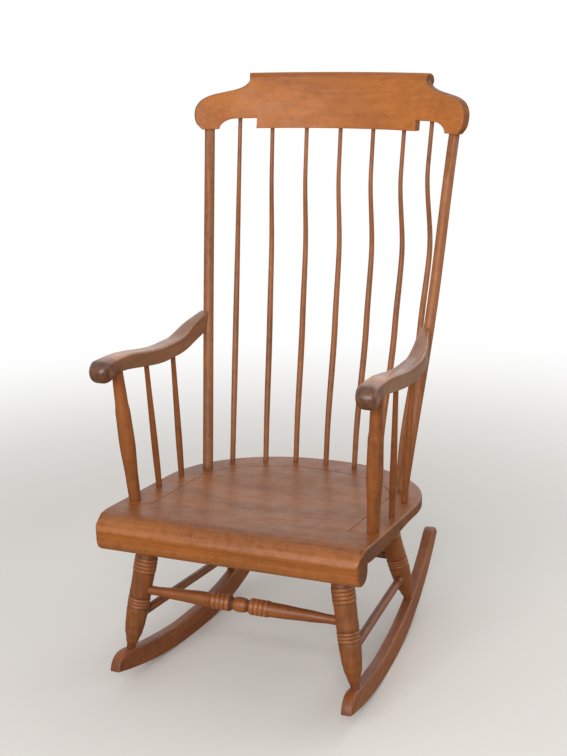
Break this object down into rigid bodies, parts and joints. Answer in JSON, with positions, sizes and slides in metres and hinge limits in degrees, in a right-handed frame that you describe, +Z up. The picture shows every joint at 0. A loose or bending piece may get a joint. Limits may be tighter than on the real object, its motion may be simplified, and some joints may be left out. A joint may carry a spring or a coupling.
{
  "type": "boston rocking chair",
  "caption": "High-backed wooden rocking chair: S-bent spindles under a bowed, rolled crest, saddled plank seat with a rolled nose, scrolled arms, ring-turned legs on curved rockers.",
  "frame": {"origin": "on the floor, under the middle of the chair's outer box", "axes": "+Z up, -Y the way the sitter faces, +X the sitter's left"},
  "size_m": [0.5662, 0.6706, 1.101],
  "materials": {
    "seat_wood": "satin lacquer over brown stain",
    "crest_wood": "satin lacquer over brown stain",
    "arm_wood": "satin lacquer over brown stain",
    "turned_wood": "satin lacquer over brown stain",
    "rocker_wood": "satin lacquer over brown stain"
  },
  "bodies": {
    "root": {"seat": "seat_wood", "crest_rail": "crest_wood", "back_spindle_1": "turned_wood", "back_spindle_2": "turned_wood", "back_spindle_3": "turned_wood", "back_spindle_4": "turned_wood", "back_spindle_5": "turned_wood", "back_spindle_6": "turned_wood", "back_spindle_7": "turned_wood", "front_stretcher": "turned_wood", "rear_stretcher": "turned_wood", "back_post_left": "turned_wood", "arm_left": "arm_wood", "arm_post_left": "turned_wood", "arm_spindle_left_1": "turned_wood", "arm_spindle_left_2": "turned_wood", "front_leg_left": "turned_wood", "rear_leg_left": "turned_wood", "side_stretcher_left": "turned_wood", "rocker_left": "rocker_wood", "back_post_right": "turned_wood", "arm_right": "arm_wood", "arm_post_right": "turned_wood", "arm_spindle_right_1": "turned_wood", "arm_spindle_right_2": "turned_wood", "front_leg_right": "turned_wood", "rear_leg_right": "turned_wood", "side_stretcher_right": "turned_wood", "rocker_right": "rocker_wood"}
  },
  "joints": []
}
